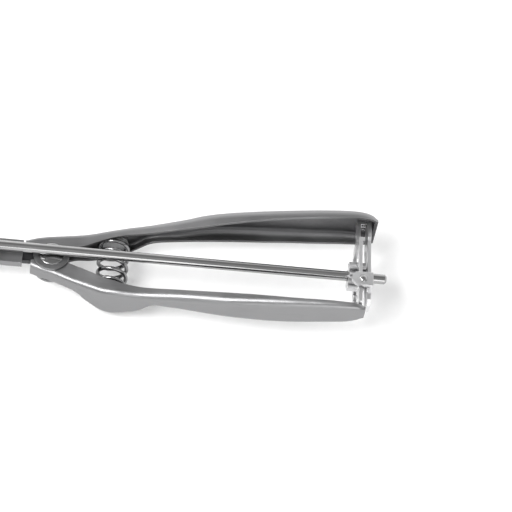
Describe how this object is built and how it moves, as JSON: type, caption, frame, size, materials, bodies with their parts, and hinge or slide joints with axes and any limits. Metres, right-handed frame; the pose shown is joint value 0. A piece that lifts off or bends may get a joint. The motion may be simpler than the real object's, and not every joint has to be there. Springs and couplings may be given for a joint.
{
  "type": "squeeze handle portioner",
  "caption": "Stainless squeeze-handle portioner scoop: round bowl with a sweeping blade, sprung channel handles on one pivot, long shaft turned by racks and a pinion.",
  "frame": {"origin": "centre of the bowl's mouth circle at the sphere's equator, on the shaft's axis", "axes": "+X along the shaft from the bowl to the tail of the handles, +Y towards the upper handle, +Z out of the bowl's mouth"},
  "size_m": [0.2171, 0.0486, 0.0334],
  "materials": {
    "satin_steel": "satin brushed stainless steel",
    "polished_steel": "polished stainless steel",
    "stamped_steel": "plain stamped stainless steel with rolled edges",
    "spring_steel": "bright drawn spring wire"
  },
  "bodies": {
    "frame": {"bowl": "polished_steel", "front_pivot_pin": "polished_steel", "shaft_bearing": "polished_steel", "stem": "satin_steel", "stem_tang": "satin_steel", "tang_pins": "satin_steel", "pivot_rivet": "polished_steel", "pivot_washer": "stamped_steel", "pivot_spacer": "stamped_steel", "coil_spring": "spring_steel"},
    "upper_handle": {"upper_handle": "satin_steel", "upper_rack": "stamped_steel", "upper_rack_rivets": "polished_steel", "upper_spring_seat": "stamped_steel", "yoke_plate": "stamped_steel", "yoke_button": "polished_steel"},
    "lower_handle": {"lower_handle": "satin_steel", "lower_rack": "stamped_steel", "lower_rack_rivets": "polished_steel", "lower_spring_seat": "stamped_steel"},
    "shaft": {"drive_shaft": "polished_steel", "shaft_collar": "polished_steel", "collar_pin": "polished_steel", "pinion": "stamped_steel", "pinion_pin": "polished_steel", "pinion_washer": "stamped_steel", "sweep_blade": "polished_steel", "blade_pin": "polished_steel"}
  },
  "joints": [
    {"name": "upper_squeeze", "type": "hinge", "parent": "frame", "child": "upper_handle", "pos_m": [0.06, 0, -0.008], "axis": [0, 0, 1], "range_deg": [-1.4, 4.66], "stiffness_Nm_per_rad": 0.9, "springref_deg": 9.17, "deforming": ["coil_spring"]},
    {"name": "lower_squeeze", "type": "hinge", "parent": "frame", "child": "lower_handle", "pos_m": [0.06, 0, -0.008], "axis": [0, 0, 1], "range_deg": [-4.67, 1.41]},
    {"name": "shaft_spin", "type": "hinge", "parent": "frame", "child": "shaft", "pos_m": [0, 0, 0], "axis": [1, 0, 0], "range_deg": [-35, 116]}
  ],
  "couplings": [
    {"joint": "lower_squeeze", "follows": "upper_squeeze", "ratio": -1},
    {"joint": "shaft_spin", "follows": "upper_squeeze", "ratio": 24.52}
  ]
}
